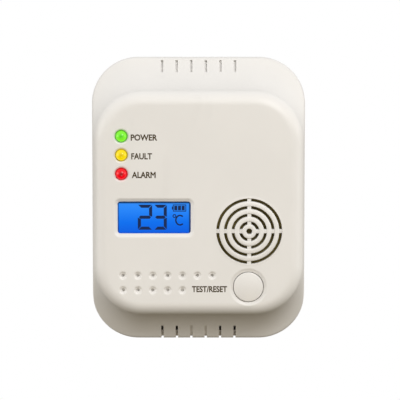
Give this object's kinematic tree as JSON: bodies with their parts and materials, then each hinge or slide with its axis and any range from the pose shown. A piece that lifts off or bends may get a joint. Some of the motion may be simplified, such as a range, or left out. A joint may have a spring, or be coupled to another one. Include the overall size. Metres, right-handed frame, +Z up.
{
  "type": "carbon monoxide detector",
  "caption": "Wall-hung carbon monoxide detector with a raised rounded front, blue display, round sounder grille, indicator lights and a round test button.",
  "frame": {"origin": "on the wall, midway between the two wall screws of the bracket", "axes": "+Z up, +X to the right seen from the front, -Y out of the wall towards the viewer, +Y into the wall"},
  "size_m": [0.092, 0.0392, 0.122],
  "materials": {
    "cover_plastic": "warm cream-white moulded plastic, satin",
    "case_plastic": "warm cream-white moulded plastic, satin",
    "button_plastic": "cream-white moulded plastic, smooth",
    "label_film": "pale grey printed film",
    "lens_green": "clear tinted green, polished",
    "lens_yellow": "clear tinted yellow, polished",
    "lens_red": "clear tinted red, polished",
    "nylon": "natural nylon",
    "display_glass": "blue lit liquid crystal glass",
    "light_guide": "clear acrylic light guide",
    "white_plastic": "white moulded plastic",
    "black_plastic": "black moulded plastic",
    "switch_plastic": "brown moulded plastic",
    "elastomer": "striped silicone rubber",
    "foam": "black closed-cell foam",
    "mesh_fabric": "dark woven dust mesh",
    "board_laminate": "green solder mask over glass laminate",
    "chip_epoxy": "black moulded epoxy",
    "tinned": "tinned metal",
    "nickel": "nickel plated steel",
    "brass": "brass sheet",
    "ceramic": "silvered piezo ceramic",
    "steel_can": "pressed steel",
    "ferrite": "dark grey ferrite",
    "copper_wire": "enamelled copper wire",
    "can_sleeve": "dark blue sleeve",
    "cell_sleeve": "dark printed sleeve",
    "red_cable": "red insulated wire",
    "black_cable": "black insulated wire",
    "zinc_steel": "zinc plated steel"
  },
  "bodies": {
    "bracket": {"wall_bracket": "case_plastic"},
    "detector": {"rear_case": "case_plastic", "front_cover": "cover_plastic", "switch_body": "black_plastic", "led_green": "lens_green", "led_yellow": "lens_yellow", "led_red": "lens_red", "led_leads": "tinned", "led_spacers": "nylon", "lcd_glass": "display_glass", "lcd_backlight": "light_guide", "lcd_holder": "white_plastic", "zebra_strip": "elastomer", "main_pcb": "board_laminate", "sounder_cup": "black_plastic", "resonator_cap": "black_plastic", "piezo_disc": "brass", "piezo_ceramic": "ceramic", "sounder_pins": "brass", "sounder_gasket": "foam", "dust_screen": "mesh_fabric", "sensor_body": "black_plastic", "sensor_cap": "steel_can", "sensor_pins": "brass", "microcontroller": "chip_epoxy", "chip_leads": "tinned", "inductor_core": "ferrite", "inductor_winding": "copper_wire", "capacitors": "can_sleeve", "crystal": "nickel", "chip_resistors": "chip_epoxy", "battery_cells": "cell_sleeve", "cell_nubs": "nickel", "battery_springs": "nickel", "contact_plates": "nickel", "lead_positive": "red_cable", "lead_negative": "black_cable", "case_screws": "zinc_steel", "board_screws": "zinc_steel"},
    "door": {"battery_door": "case_plastic", "rating_label": "label_film"},
    "button": {"test_button": "button_plastic"},
    "plunger": {"switch_plunger": "switch_plastic"}
  },
  "joints": [
    {"name": "detector_lift", "type": "slide", "parent": "bracket", "child": "detector", "axis": [0, 0, 1], "range_m": [0, 0.005]},
    {"name": "battery_door_hinge", "type": "hinge", "parent": "detector", "child": "door", "pos_m": [0, -0.002, -0.08], "axis": [-1, 0, 0], "range_deg": [0, 100]},
    {"name": "test_button_press", "type": "slide", "parent": "detector", "child": "button", "axis": [0, 1, 0], "range_m": [0, 0.0006], "stiffness_N_per_m": 1000, "springref_m": -0.0015},
    {"name": "switch_plunger_press", "type": "slide", "parent": "detector", "child": "plunger", "axis": [0, 1, 0], "range_m": [0, 0.0006]}
  ],
  "couplings": [
    {"joint": "switch_plunger_press", "follows": "test_button_press", "ratio": 1}
  ]
}
